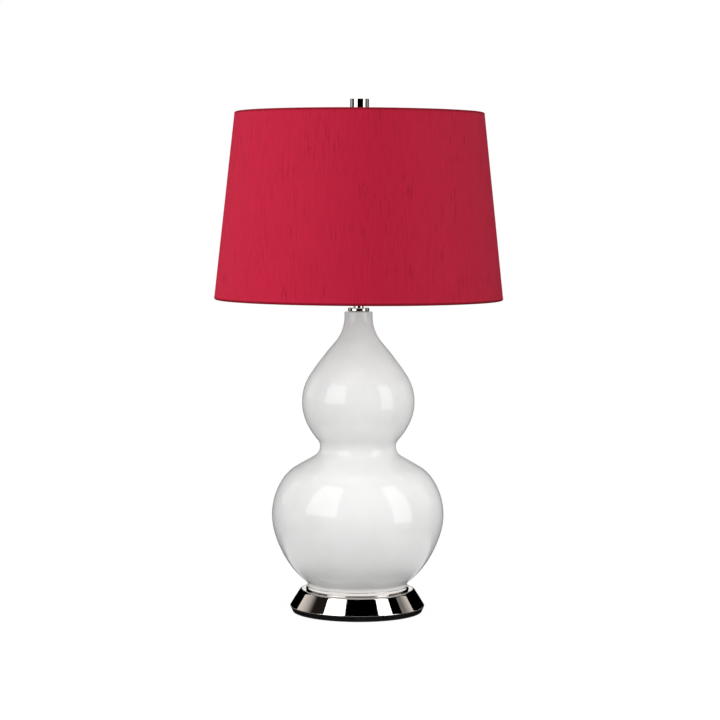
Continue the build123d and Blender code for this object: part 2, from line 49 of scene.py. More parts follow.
def rows(*parts):
    # joins runs of (radius, height) points end to end into one profile
    return np.concatenate([np.asarray(part, float).reshape(-1, 2) for part in parts])


def gridFaces(count, across, closeRows, closeAcross):
    # quads between neighbouring rows and columns of a count x across grid of points
    i = np.arange(count if closeRows else count - 1)
    j = np.arange(across if closeAcross else across - 1)
    i, j = np.meshgrid(i, j, indexing="ij")
    nextRow, nextPoint = (i + 1) % count, (j + 1) % across
    quads = np.stack([i * across + j, i * across + nextPoint,
                      nextRow * across + nextPoint, nextRow * across + j], axis=-1)
    return quads.reshape(-1, 4)


def volumeOf(points, quads, triangles):
    # six times the volume: the sum of each triangle's corner determinants
    tris = np.concatenate([quads[:, [0, 1, 2]], quads[:, [0, 2, 3]], triangles])
    a, b, c = points[tris[:, 0]], points[tris[:, 1]], points[tris[:, 2]]
    return (a * np.cross(b, c)).sum()


def makePiece(name, points, quads, triangles=None, sharpFrom=None, closed=True):
    # writes whole arrays of points and faces into a mesh, turned so that its faces point outwards
    if triangles is None:
        triangles = np.zeros((0, 3), int)
    if closed and volumeOf(points, quads, triangles) < 0:
        quads, triangles = quads[:, ::-1], triangles[:, ::-1]
    loops = np.concatenate([quads.ravel(), triangles.ravel()])
    starts = np.concatenate([np.arange(len(quads)) * 4,
                             len(quads) * 4 + np.arange(len(triangles)) * 3])
    mesh = bpy.data.meshes.new(name)
    mesh.vertices.add(len(points))
    mesh.vertices.foreach_set("co", points.astype(np.float32).ravel())
    mesh.loops.add(len(loops))
    mesh.loops.foreach_set("vertex_index", loops.astype(np.int32))
    mesh.polygons.add(len(starts))
    mesh.polygons.foreach_set("loop_start", starts.astype(np.int32))
    mesh.update(calc_edges=True)
    mesh.validate()
    mesh.shade_smooth()
    if sharpFrom is not None:
        mesh.set_sharp_from_angle(angle=math.radians(sharpFrom))
    piece = bpy.data.objects.new(name, mesh)
    scene.collection.objects.link(piece)
    return piece


def turned(name, profile, segments, shape=None, sharpFrom=None, ring=False):
    # a solid of revolution: every profile point (radius, height) is carried round the axis, so
    # x = r cos a, y = r sin a, z = h; shape(a, r, h) may change r and h over the whole grid.
    # With ring the profile closes on itself, otherwise its two ends lie on the axis.
    angle = np.linspace(0, 2 * math.pi, segments, endpoint=False)
    r, a = np.meshgrid(profile[:, 0], angle, indexing="ij")
    h = np.repeat(profile[:, 1][:, None], segments, axis=1)
    if shape is not None:
        r, h = shape(a, r, h)
    points = np.stack([r * np.cos(a), r * np.sin(a), h], axis=-1)
    count = len(profile)
    if ring:
        return makePiece(name, points.reshape(-1, 3), gridFaces(count, segments, True, True),
                         sharpFrom=sharpFrom)
    body = points[1:-1].reshape(-1, 3)
    poles = np.array([[0, 0, profile[0, 1]], [0, 0, profile[-1, 1]]])
    first = np.arange(segments)
    second = (first + 1) % segments
    low, last = len(body), (count - 3) * segments
    fans = np.concatenate([
        np.stack([np.full(segments, low), second, first], axis=-1),
        np.stack([np.full(segments, low + 1), last + first, last + second], axis=-1)])
    return makePiece(name, np.concatenate([body, poles]),
                     gridFaces(count - 2, segments, False, True), fans, sharpFrom)


def bend(center, radius, start, end, count):
    # points on an arc of a circle, from one angle to another in degrees
    angle = np.radians(np.linspace(start, end, count))
    return np.stack([center[0] + radius * np.cos(angle), center[1] + radius * np.sin(angle)], axis=-1)


def rounded(corners, steps=10):
    # an outline of corners (radius, height, rounding). A corner's arc starts rounding / tan(half
    # its angle) along each side; its points are the arc's middle plus sin((1 - t) w) of the first
    # arm and sin(t w) of the last, over sin w, where w is the angle between the arms. Long sides
    # get a point near each end, so that they are shaded flat.
    places = np.array(corners, float)
    made = []
    for here, before, after in zip(places, np.roll(places, 1, axis=0), np.roll(places, -1, axis=0)):
        back, on = before[:2] - here[:2], after[:2] - here[:2]
        back, on = back / np.linalg.norm(back), on / np.linalg.norm(on)
        if here[2] == 0:
            made.append(here[None, :2])
            continue
        half = math.acos(back @ on) / 2
        middle = here[:2] + (back + on) / np.linalg.norm(back + on) * here[2] / math.sin(half)
        first = here[:2] + back * here[2] / math.tan(half) - middle
        last = here[:2] + on * here[2] / math.tan(half) - middle
        wide, t = math.pi - 2 * half, np.linspace(0, 1, steps)[:, None]
        made.append(middle + (np.sin((1 - t) * wide) * first + np.sin(t * wide) * last) / math.sin(wide))
    outline = np.concatenate(made)
    step = np.roll(outline, -1, axis=0) - outline
    length = np.linalg.norm(step, axis=1, keepdims=True)
    fromEnd, longSide, same = 0.3, 1.5, 1e-6
    near = fromEnd / np.maximum(length, 1.0)
    onward, ahead = (outline + np.where(length > longSide, share, 0) * step for share in (near, 1 - near))
    grid = np.stack([outline, onward, ahead], axis=1).reshape(-1, 2)
    kept = np.linalg.norm(grid - np.roll(grid, 1, axis=0), axis=1) > same
    return grid[kept]


def arcChain(points, heading, perArc):
    # tangent arcs through the points: along one arc the chord from its start is
    # c sin(t a) / sin(a) long and turned t a from the start's heading, t from 0 to 1,
    # where c is the whole chord and a the angle between the heading and that chord
    made = [np.array([points[0]], float)]
    for start, end in zip(points, points[1:]):
        chord = np.subtract(end, start)
        turn = math.atan2(chord[1], chord[0]) - heading
        turn = (turn + math.pi) % (2 * math.pi) - math.pi
        t = np.linspace(0, 1, perArc + 1)[1:]
        reach = np.hypot(*chord) * (np.sin(turn * t) / math.sin(turn) if abs(turn) > 1e-9 else t)
        toward = heading + turn * t
        made.append(np.stack([start[0] + reach * np.cos(toward),
                              start[1] + reach * np.sin(toward)], axis=-1))
        heading += 2 * turn
    return np.concatenate(made)


def sideways(path):
    # unit normals to the right of a path of points
    step = np.gradient(path, axis=0)
    step /= np.linalg.norm(step, axis=1, keepdims=True)
    return np.stack([step[:, 1], -step[:, 0]], axis=-1)


def ripple(a, h, size, seed):
    # a slow unevenness: a sum of a few waves round and along the piece, with fixed phases
    draw = np.random.default_rng(seed)
    total = np.zeros_like(a)
    for turns in (1, 2, 3, 5, 8):
        phase = draw.uniform(0, 2 * math.pi, 2)
        total += np.sin(turns * a + phase[0]) * np.sin(h * size * (1 + turns / 3) + phase[1]) / turns
    return total


class Finish:
    # one material's node tree, with short calls for the nodes that the finishes share
    def __init__(self, name, cloth=False):
        self.material = bpy.data.materials.new(name)
        self.material.use_nodes = True
        self.tree = self.material.node_tree
        self.shader = self.tree.nodes["Principled BSDF"]
        if cloth:
            self.place = self.add("ShaderNodeUVMap", uv_map="flatCut").outputs["UV"]
        else:
            self.place = self.add("ShaderNodeTexCoord").outputs["Object"]

    def add(self, kind, inputs=None, **settings):
        made = self.tree.nodes.new(kind)
        for key, value in settings.items():
            setattr(made, key, value)
        for key, value in (inputs or {}).items():
            if isinstance(value, bpy.types.NodeSocket):
                self.tree.links.new(value, made.inputs[key])
            else:
                made.inputs[key].default_value = value
        return made

    def set(self, **values):
        # plain values and links on the shader's own sockets; an underscore stands for a space
        for key, value in values.items():
            socket = self.shader.inputs[key.replace("_", " ")]
            if isinstance(value, bpy.types.NodeSocket):
                self.tree.links.new(value, socket)
            elif socket.type == "RGBA":
                socket.default_value = (*value, 1)
            else:
                socket.default_value = value

    def stretched(self, scale):
        return self.add("ShaderNodeMapping", {"Vector": self.place, "Scale": scale}).outputs["Vector"]

    def noise(self, scale, detail=3, rough=0.55, stretch=None):
        place = self.stretched(stretch) if stretch else self.place
        return self.add("ShaderNodeTexNoise", {"Vector": place, "Scale": scale, "Detail": detail,
                                               "Roughness": rough}).outputs["Fac"]

    def between(self, value, low, high, outLow=0.0, outHigh=1.0):
        return self.add("ShaderNodeMapRange", {"Value": value, "From Min": low, "From Max": high,
                                               "To Min": outLow, "To Max": outHigh},
                        interpolation_type="SMOOTHSTEP").outputs["Result"]

    def blend(self, share, first, second):
        made = self.add("ShaderNodeMix", data_type="RGBA")
        self.tree.links.new(share, made.inputs["Factor"])
        for socket, value in ((made.inputs[6], first), (made.inputs[7], second)):
            if isinstance(value, bpy.types.NodeSocket):
                self.tree.links.new(value, socket)
            else:
                socket.default_value = (*value, 1)
        return made.outputs[2]

    def times(self, first, second, kind="MULTIPLY"):
        # the product of two values, or what another kind of the same node gives
        made = self.add("ShaderNodeMath", operation=kind)
        for socket, value in zip(made.inputs, (first, second)):
            if isinstance(value, bpy.types.NodeSocket):
                self.tree.links.new(value, socket)
            else:
                socket.default_value = value
        return made.outputs[0]

    def relief(self, *layers):
        # each layer is (height, depth in metres); they are laid on each other as bumps
        normal = None
        for height, depth in layers:
            made = self.add("ShaderNodeBump", {"Height": height, "Distance": depth, "Strength": 1.0})
            if normal is not None:
                self.tree.links.new(normal, made.inputs["Normal"])
            normal = made.outputs["Normal"]
        self.tree.links.new(normal, self.shader.inputs["Normal"])

    def split(self):
        return self.add("ShaderNodeSeparateXYZ", {"Vector": self.place}).outputs


def glazeFinish():
    look = {
        "white": (0.835, 0.835, 0.83), "thin": (0.79, 0.79, 0.785), "pool": (0.79, 0.785, 0.735),
        "speck": (0.55, 0.52, 0.47), "biscuit": (0.70, 0.66, 0.58),
        "poolTop": 0.0405, "footLow": 0.0296,     # metres up: where glaze gathers, and where it ends
        "wipe": 0.0003,                           # how softly the bare foot begins
    }
    f = Finish("whiteGlaze")
    height = f.split()["Z"]
    cloudy = f.between(f.noise(16, 3), 0.35, 0.7)
    colour = f.blend(cloudy, look["white"], look["thin"])
    pooled = f.between(height, look["poolTop"], look["footLow"], 0, 0.9)
    colour = f.blend(pooled, colour, look["pool"])
    specks = f.between(f.noise(900, 1), 0.74, 0.80)
    colour = f.blend(f.times(specks, 0.25), colour, look["speck"])
    bare = f.between(height, look["footLow"], look["footLow"] - look["wipe"])
    colour = f.blend(bare, colour, look["biscuit"])
    smooth = f.between(f.noise(30, 4), 0.3, 0.75, 0.05, 0.09)
    f.set(Base_Color=colour, Roughness=f.times(smooth, f.times(bare, 0.6), "ADD"), IOR=1.52)
    f.relief((f.noise(38, 2), 0.00035), (f.noise(260, 2), 0.000012))
    return f.material


def nickelFinish(name, roughLow, roughHigh, tint, spinLines, lineDepth):
    f = Finish(name)
    place = f.split()
    smudge = f.noise(55, 5, 0.6)
    tone = f.blend(f.between(smudge, 0.35, 0.7), tint, tuple(0.93 * c for c in tint))
    f.set(Metallic=1.0, Base_Color=tone, Roughness=f.between(smudge, 0.35, 0.72, roughLow, roughHigh))
    # spinning and polishing leave fine rings round the axis
    squares = f.times(f.times(place["X"], place["X"]), f.times(place["Y"], place["Y"]), "ADD")
    around = f.times(squares, 0.5, "POWER")
    lines = f.add("ShaderNodeTexNoise", {
        "Vector": f.add("ShaderNodeCombineXYZ", {"X": around, "Z": place["Z"]}).outputs["Vector"],
        "Scale": spinLines, "Detail": 3, "Roughness": 0.6}).outputs["Fac"]
    f.relief((f.noise(26, 2), lineDepth * 12), (lines, lineDepth))
    return f.material


def plainMetal(name, tint, wearAndShade, rough, grain, depth, metallic=1.0):
    # a plated or cast metal with slow stains and a fine grain
    f = Finish(name)
    stain = f.between(f.noise(120, 4, 0.6), 0.35, 0.7)
    f.set(Metallic=metallic, Base_Color=f.blend(stain, tint, wearAndShade),
          Roughness=f.between(f.noise(300, 3), 0.3, 0.7, rough - 0.08, rough + 0.1))
    f.relief((f.noise(grain, 4, 0.65), depth))
    return f.material


def moulded(name, tint, second, rough, grain, depth, **more):
    # rubber, plastic and enamel: nearly one colour, with a faint mottle and a fine skin
    f = Finish(name)
    mottle = f.between(f.noise(180, 4), 0.3, 0.7)
    f.set(Base_Color=f.blend(mottle, tint, second),
          Roughness=f.between(f.noise(420, 3), 0.3, 0.7, rough - 0.06, rough + 0.06), **more)
    f.relief((f.noise(grain, 3), depth))
    return f.material


def feltFinish():
    f = Finish("blackFelt")
    fibres = f.noise(1500, 5, 0.7)
    matted = f.noise(160, 3)
    f.set(Base_Color=f.blend(f.between(fibres, 0.35, 0.7), (0.008, 0.008, 0.009), (0.030, 0.030, 0.031)),
          Roughness=0.95, Sheen_Weight=0.1, Sheen_Roughness=0.6, Sheen_Tint=(0.4, 0.4, 0.42),
          Specular_IOR_Level=0.12)
    f.relief((matted, 0.0003), (fibres, 0.00025))
    return f.material


def brassFinish():
    f = Finish("bareBrass")
    tarnish = f.between(f.noise(90, 4, 0.6), 0.4, 0.75)
    drawn = f.noise(160, 3, 0.6, stretch=(1, 1, 14))
    f.set(Metallic=1.0, Base_Color=f.blend(tarnish, (0.86, 0.65, 0.30), (0.62, 0.42, 0.17)),
          Roughness=f.between(drawn, 0.3, 0.7, 0.2, 0.36))
    f.relief((drawn, 0.00003))
    return f.material


def fibreFinish():
    f = Finish("fibreBoard")
    fibres = f.noise(260, 4, 0.6, stretch=(1, 1, 6))
    f.set(Base_Color=f.blend(f.between(fibres, 0.3, 0.7), (0.50, 0.41, 0.29), (0.36, 0.28, 0.18)),
          Roughness=0.75)
    f.relief((fibres, 0.00008))
    return f.material


def liningFinish():
    # smooth white sheet with faint rolled streaks, and a faint warm tint that is painted light from the red
    # cloth behind it
    f = Finish("whiteLining")
    streak = f.noise(40, 3, 0.5, stretch=(1, 1, 0.1))
    f.set(Base_Color=f.blend(f.between(streak, 0.3, 0.7), (0.87, 0.865, 0.86), (0.84, 0.83, 0.82)),
          Roughness=f.between(f.noise(90, 3), 0.3, 0.7, 0.38, 0.5))
    f.relief((f.noise(70, 3), 0.00008))
    return f.material


def silkFinish():
    # the pattern lies on the flat cut in metres: x across the grain, y along the slubs
    look = {
        "light": (0.508, 0.0130, 0.0440), "deep": (0.465, 0.0114, 0.0386),
        # rim is the colour of the painted shade along the hems
        "slub": (0.363, 0.0079, 0.0266), "rim": (0.22, 0.004, 0.013),
        "warpGap": 0.00042, "weftGap": 0.00055,   # metres from thread to thread
    }
    f = Finish("crimsonSlub", cloth=True)
    fibre = f.noise(1, 3, 0.6, stretch=(2100, 70, 1))
    streak = f.noise(1, 3, 0.55, stretch=(480, 22, 1))
    patchy = f.noise(1, 2, 0.5, stretch=(26, 12, 1))
    thick = f.between(f.noise(1, 2, 0.5, stretch=(330, 40, 1)), 0.54, 0.72)
    slubs = f.times(thick, f.between(patchy, 0.42, 0.60, 0.2, 1.0))
    colour = f.blend(f.between(streak, 0.35, 0.68), look["light"], look["deep"])
    colour = f.blend(f.between(fibre, 0.3, 0.7, 0.0, 0.35), colour, look["deep"])
    colour = f.blend(f.times(slubs, 0.85), colour, look["slub"])
    # painted shade on the hems, as strong as the cloth's rim attribute says
    rim = f.add("ShaderNodeAttribute", attribute_name="rim").outputs["Fac"]
    colour = f.blend(f.times(rim, 0.85), colour, look["rim"])
    cut = f.split()
    warp = f.times(f.times(cut["X"], 2 * math.pi / look["warpGap"]), 0, "SINE")
    weft = f.times(f.times(cut["Y"], 2 * math.pi / look["weftGap"]), 0, "SINE")
    f.set(Base_Color=colour, Roughness=f.between(fibre, 0.3, 0.7, 0.5, 0.64), Specular_IOR_Level=0.06,
          Sheen_Weight=0.03, Sheen_Roughness=0.35, Sheen_Tint=(1.0, 0.15, 0.3))
    f.relief((slubs, 0.00022), (fibre, 0.00006), (f.times(warp, weft), 0.000018))
    return f.material


finishes = {
    "felt": feltFinish(),
    "cover_black": moulded("blackEnamel", (0.006, 0.006, 0.006), (0.011, 0.011, 0.011), 0.5, 500, 0.00002,
                           Specular_IOR_Level=0.12),
    "nickel": nickelFinish("polishedNickel", 0.025, 0.055, (0.80, 0.765, 0.73), 900, 0.0000012),
    "iron": plainMetal("castIron", (0.09, 0.088, 0.085), (0.13, 0.10, 0.08), 0.72, 420, 0.00035, 0.7),
    "zinc": plainMetal("zincPlate", (0.66, 0.67, 0.67), (0.52, 0.51, 0.46), 0.34, 700, 0.00003),
    "rubber": moulded("blackRubber", (0.014, 0.014, 0.014), (0.022, 0.022, 0.021), 0.62, 700, 0.00004),
    "glaze": glazeFinish(),
    "harp_nickel": plainMetal("satinNickel", (0.75, 0.72, 0.68), (0.66, 0.63, 0.585), 0.27, 900, 0.000006),
    "holder_metal": nickelFinish("holderNickel", 0.16, 0.28, (0.76, 0.73, 0.69), 1500, 0.000010),
    "paperboard": fibreFinish(),
    "phenolic": moulded("brownPhenolic", (0.035, 0.022, 0.016), (0.060, 0.038, 0.026), 0.38, 600, 0.00003),
    "brass": brassFinish(),
    "knob_black": moulded("blackKnob", (0.008, 0.008, 0.008), (0.014, 0.014, 0.014), 0.22, 600, 0.00001,
                          Coat_Weight=0.4, Coat_Roughness=0.1),
    "wire_metal": moulded("whiteEnamel", (0.80, 0.79, 0.77), (0.74, 0.73, 0.70), 0.34, 350, 0.00002,
                          Coat_Weight=0.2, Coat_Roughness=0.2),
    "shade_lining": liningFinish(),
    "shade_cloth": silkFinish(),
}

slotOf = {part["node"]: part["material_slot"] for part in frame["record"]["subparts"]}
for nodeName, nodeObject in frame["nodes"].items():
    for held in nodeObject.material_slots:
        held.material = finishes[slotOf[nodeName]]
print("materials made:", len(finishes))


def dress(piece, nodeName, body):
    # a new piece takes its CAD node's finish, place and body
    piece.data.materials.append(finishes[slotOf[nodeName]])
    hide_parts(nodeName)
    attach(piece, body)
    return piece


gourd = {
    "arcs": [(18.4, 389.0), (31.2, 355.0), (63.2, 313.1), (69.6, 254.0), (53.4, 227.7), (56.8, 206.0),
             (81.2, 191.6), (99.0, 174.6), (109.5, 104.8), (96.0, 73.2), (65.3, 38.3)],
    "top": 395.9, "neck": 18.4, "lip": 1.5, "bore": 11.0, "wall": 5.0,
    "foot": 65.5, "footLow": 28.8, "footInner": 57.0, "recess": 33.0, "floor": 39.0, "hole": 9.0,
    "fillet": 2.6,            # glaze gathered in the corner above the foot, along each side
    "footSwell": [(0.22, 33.5), (0.12, 31.6)],    # how far the foot's side stands out, at what height
    "footRound": 1.3, "innerRound": 1.0,
    "perArc": 14, "neckSkip": 8,                  # points along an arc; ones left out above the first
    "uneven": 0.10, "segments": 288,
}


def gourdProfile(g):
    # the section of the wall: over the lip, down the outline, round the foot and up the hollow
    chain = arcChain([(g["neck"], g["top"] - g["lip"])] + g["arcs"], -math.pi / 2, g["perArc"])
    outer = chain[np.r_[0, g["neckSkip"]:len(chain)]]
    inner = chain[g["perArc"]:] + sideways(chain)[g["perArc"]:] * g["wall"]
    inner = inner[inner[:, 1] > g["floor"] + 1.0][::-1]
    corner = np.array(g["arcs"][-1])
    below = corner + np.array([0.2, -g["fillet"]])
    kept = outer[np.hypot(*(outer - corner).T) > g["fillet"]]
    t = np.linspace(0, 1, 8)[:, None]
    hollow = (1 - t) ** 2 * kept[-1] + 2 * t * (1 - t) * corner + t ** 2 * below
    foot, low, footRound, innerRound = g["foot"], g["footLow"], g["footRound"], g["innerRound"]
    return rows(
        [(g["bore"], g["top"]), (g["neck"] - g["lip"] - 1.0, g["top"])],
        bend((g["neck"] - g["lip"], g["top"] - g["lip"]), g["lip"], 88, 4, 6), kept, hollow[1:],
        [(foot + swell, height) for swell, height in g["footSwell"]],
        bend((foot - footRound, low + footRound), footRound + 0.05, 0, -90, 6),
        [(g["footInner"] + 1.5 * innerRound, low)],
        bend((g["footInner"] + innerRound, low + innerRound), innerRound, -90, -180, 4),
        [(g["footInner"], g["recess"] - innerRound), (g["footInner"] - innerRound, g["recess"]),
         (g["hole"], g["recess"]), (g["hole"], g["floor"]), (inner[0][0] - 1.0, g["floor"])],
        inner, [(g["bore"], inner[-1][1] - 2.0)],
    )


def gourdShape(a, r, h):
    # slip casting and glazing leave the wall uneven by about a tenth of a millimetre
    return r + gourd["uneven"] * mm * ripple(a, h, 28.0, 11), h


glazedGourd = turned("glazedGourd", gourdProfile(gourd) * mm, gourd["segments"], gourdShape,
                     sharpFrom=50, ring=True)
dress(glazedGourd, "gourd_body", "base")
print("gourd made")

felt = {"radius": 85.4, "thickness": 1.6, "edge": 0.5, "fuzz": 0.12, "fuzzWide": 3, "innerRing": 6,
        "rings": 14, "segments": 360}


def feltShape(a, r, h):
    # the cut edge is a little ragged: r shrinks by a few fine waves, only near the rim
    rim = np.clip((r / mm - felt["radius"] + felt["fuzzWide"]) / felt["fuzzWide"], 0, 1)
    ragged = np.abs(np.sin(67 * a + 3 * np.sin(9 * a)) + 0.6 * np.sin(131 * a + 1.3))
    return r - felt["fuzz"] * mm * rim * ragged, h


def feltPadPiece():
    edge, thick, radius = felt["edge"], felt["thickness"], felt["radius"]
    across = np.linspace(felt["innerRing"], radius - edge, felt["rings"])
    profile = rows([(0, 0)], np.stack([across, np.zeros_like(across)], axis=-1),
                   bend((radius - edge, edge), edge, -75, 0, 5),
                   bend((radius - edge, thick - edge), edge, 0, 75, 5),
                   np.stack([across[::-1], np.full_like(across, thick)], axis=-1), [(0, thick)])
    return turned("feltPad", profile * mm, felt["segments"], feltShape)


feltPad = dress(feltPadPiece(), "felt_pad", "base")
print("felt pad made")


footShell = {
    "boreRadius": 5.25, "seat": 27.8, "wall": 1.6, "flat": 29.8,
    "collarInner": 66.0, "collar": 67.6, "collarTop": 34.4, "collarRound": 0.3, "cove": 0.6,
    "corner": 74.9, "cornerRound": 5.6,       # where the flat and the cone would meet
    "widest": 88.8, "widestHeight": 8.0, "foldRound": 1.0,
    "foldGap": 0.2, "lip": 87.4, "lipInner": 83.0, "lipLow": 4.8,
    "step": 68.2, "stepLow": 66.6,            # under the collar the inside climbs between these
    "inletHeight": 15.0, "inletRadius": 5.0, "segments": 320,
}


def bored(piece, at, along, radius, depth):
    # cuts a round hole square through the piece's wall
    drill = turned("drill", rows([(0, -depth), (radius, -depth), (radius, depth), (0, depth)]) * mm, 64)
    drill.data.transform(Matrix.Translation(at) @ Vector(along).to_track_quat("Z", "Y").to_matrix().to_4x4())
    cut = piece.modifiers.new("hole", "BOOLEAN")
    cut.object, cut.operation, cut.solver = drill, "DIFFERENCE", "EXACT"
    made = piece.evaluated_get(bpy.context.evaluated_depsgraph_get())
    piece.data = bpy.data.meshes.new_from_object(made)
    piece.modifiers.clear()
    piece.data.set_sharp_from_angle(angle=math.radians(40))
    bpy.data.objects.remove(drill)


def footShellPiece(s):
    run, fall = s["widest"] - s["corner"], s["flat"] - s["widestHeight"]
    slope = math.hypot(run, fall)
    under, inside = s["flat"] - s["wall"], s["widest"] - s["wall"] - s["foldGap"]
    shell = turned("footShell", rounded([
        (s["boreRadius"], s["seat"], 0), (s["collarInner"], s["seat"], 0),
        (s["collarInner"], s["collarTop"], s["collarRound"]), (s["collar"], s["collarTop"], s["collarRound"]),
        (s["collar"], s["flat"], s["cove"]), (s["corner"], s["flat"], s["cornerRound"]),
        (s["widest"], s["widestHeight"], s["foldRound"]), (s["lip"], s["lipLow"], 0),
        (s["lipInner"], s["lipLow"], 0), (s["lipInner"], s["lipLow"] + s["wall"], 0),
        (inside - s["wall"] / 2, s["lipLow"] + s["wall"], 0),
        (inside, s["widestHeight"], 0), (s["corner"] - s["wall"] * fall / slope, under, 0),
        (s["step"], under, 0), (s["stepLow"], s["seat"] - s["wall"], 0),
        (s["boreRadius"], s["seat"] - s["wall"], 0)]) * mm, s["segments"], sharpFrom=40, ring=True)
    reach = s["corner"] + (s["flat"] - s["inletHeight"]) * run / fall
    bored(shell, (0, reach * mm, s["inletHeight"] * mm), (0, fall / slope, run / slope),
          s["inletRadius"], 4 * s["wall"])
    return shell


dress(footShellPiece(footShell), "base_shell", "base")

neckCap = {"bore": 5.25, "boreRound": 0.3, "spigot": 10.7, "spigotLow": 387.9, "spigotRound": 0.4,
           "low": 395.9, "top": 401.0, "radius": 14.0, "round": 1.2, "segments": 128}


def neckCapPiece(c):
    return turned("neckCap", rounded([
        (c["bore"], c["spigotLow"], 0), (c["spigot"], c["spigotLow"], c["spigotRound"]),
        (c["spigot"], c["low"], 0), (c["radius"], c["low"], c["round"]),
        (c["radius"], c["top"], c["round"]), (c["bore"], c["top"], c["boreRound"])]) * mm,
        c["segments"], sharpFrom=40, ring=True)


dress(neckCapPiece(neckCap), "neck_cap", "base")
print("foot shell and neck cap made")


def wound(a, h, pitch):
    # where a point stands in its thread's turn: height in pitches less the turn round the axis
    return (h / pitch - a / (2 * math.pi)) % 1.0


harpStud = {
    # the rivet's head, its neck through the bow's crown, and the shoulder that carries the shade
    "below": [(0, 638.3), (3.0, 638.3), (3.6, 638.6), (3.8, 639.2), (3.8, 639.7), (2.5, 639.7),
              (2.5, 643.1), (6.2, 643.1), (6.5, 643.4), (6.5, 645.2), (6.2, 645.5), (3.1, 645.5)],
    "radius": 3.1, "tip": 2.5, "top": 655.5, "side": (645.6, 654.9), "rows": 110, "segments": 64,
    "pitch": 25.4 / 27, "deep": 0.52, "steep": 1.15, "crest": 0.08,
    "threadLow": 646.4, "threadTop": 655.1, "threadFrom": 2.4, "runIn": 0.5,
}


def vee(a, h, pitch):
    # 1 along the bottom of the stud's groove, falling evenly to 0 along its crest
    return np.abs(2 * wound(a, h, pitch) - 1)


def studShape(a, r, h):
    # the radius falls by the thread's depth along each groove; steep and crest flatten both edges
    s, height = harpStud, h / mm
    inThread = (height > s["threadLow"]) & (height < s["threadTop"]) & (r / mm > s["threadFrom"])
    fade = np.clip((height - s["threadLow"]) / s["runIn"], 0, 1)
    groove = np.clip(s["steep"] * vee(a, height, s["pitch"]) - s["crest"], 0, 1)
    return r - np.where(inThread, fade * s["deep"] * mm * groove, 0), h


def harpStudPiece(s):
    side = np.stack([np.full(s["rows"], s["radius"]), np.linspace(*s["side"], s["rows"])], axis=-1)
    profile = rows(s["below"], side, [(s["tip"], s["top"]), (0, s["top"])])
    return turned("harpStud", profile * mm, s["segments"], studShape, sharpFrom=40)


dress(harpStudPiece(harpStud), "harp_stud", "base")

insertShell = {"low": 647.2, "height": 12.5, "radius": 4.5, "bore": 3.2, "edge": 0.2,
               "sideRing": 6,             # a ring of points this far up the plain side
               "rows": 150,
               "knurls": 36, "knurlDeep": 0.12, "knurlFrom": 4.3,
               "threadDeep": 0.38, "threadTo": 3.4, "plainEnd": 0.4, "segments": 144}


def insertShape(a, r, h):
    # straight knurls outside, and the stud's thread cut into the bore
    s, height = insertShell, h / mm
    knurl = np.where(r / mm > s["knurlFrom"], -s["knurlDeep"] * np.abs(np.sin(s["knurls"] / 2 * a)), 0)
    groove = np.clip(harpStud["steep"] * (1 - vee(a, height, harpStud["pitch"])), 0, 1)
    middle = (height > s["low"] + s["plainEnd"]) & (height < s["low"] + s["height"] - s["plainEnd"])
    cut = np.where((r / mm < s["threadTo"]) & middle, s["threadDeep"] * groove, 0)
    return r + (knurl + cut) * mm, h


def finialInsertPiece(s):
    low, top, edge = s["low"], s["low"] + s["height"], s["edge"]
    bore = np.linspace(top - 1.5 * edge, low + 1.5 * edge, s["rows"])
    profile = rows([(s["bore"] + 2 * edge, low), (s["radius"] - edge, low), (s["radius"], low + edge),
                    (s["radius"], low + s["sideRing"]), (s["radius"], top - edge),
                    (s["radius"] - edge, top), (s["bore"] + edge, top)],
                   np.stack([np.full_like(bore, s["bore"]), bore], axis=-1))
    return turned("finialInsert", profile * mm, s["segments"], insertShape, sharpFrom=40, ring=True)


dress(finialInsertPiece(insertShell), "finial_insert", "finial_thread")

lampShell = {
    "pitch": 25.4 / 7, "low": 447.0, "top": 474.0, "root": 13.2, "crest": 12.45, "sheet": 0.4,
    "hole": 6.0, "floor": 0.8, "cornerRound": 0.8, "insideRound": 0.5, "mouthRound": 0.1,
    "plainFloor": 2.2, "floorFade": 2.0,      # the thread begins this far up, and grows over this much
    "plainMouth": 1.6, "mouthFade": 1.5,
    "rows": 96, "segments": 128,
}


def rolledShape(a, r, h):
    # thin sheet rolled into a round thread: both faces follow one wave that winds up the axis,
    # r = root less the depth times (1 - cos of the turn) / 2; it fades at the floor and the mouth
    s, height = lampShell, h / mm
    wave = 0.5 - 0.5 * np.cos(2 * math.pi * wound(a, height, s["pitch"]))
    ends = (np.clip((height - s["low"] - s["plainFloor"]) / s["floorFade"], 0, 1)
            * np.clip((s["top"] - s["plainMouth"] - height) / s["mouthFade"], 0, 1))
    onWall = r / mm > s["root"] - 0.02
    return r - np.where(onWall, (s["root"] - s["crest"]) * wave * ends, 0) * mm, h


def screwShellPiece(s):
    low, top, floor, wall = s["low"], s["top"], s["low"] + s["floor"], s["root"] + s["sheet"]
    corner, inner, mouth = s["cornerRound"], s["insideRound"], s["mouthRound"]
    heights = np.linspace(floor + corner, top - inner, s["rows"])
    outside = np.stack([np.full_like(heights, wall), heights], axis=-1)
    inside = np.stack([np.full_like(heights, s["root"]), heights[::-1]], axis=-1)
    profile = rows([(s["hole"], low), (wall - corner, low)],
                   bend((wall - corner, low + corner), corner, -70, 0, 5), outside,
                   [(wall - mouth / 2, top - mouth), (wall - s["sheet"] / 2, top),
                    (s["root"] + mouth / 2, top - mouth)],
                   inside, bend((s["root"] - inner, floor + inner), inner, 0, -90, 4), [(s["hole"], floor)])
    return turned("lampScrewShell", profile * mm, s["segments"], rolledShape, sharpFrom=50, ring=True)


dress(screwShellPiece(lampShell), "screw_shell", "base")
print("threads made")

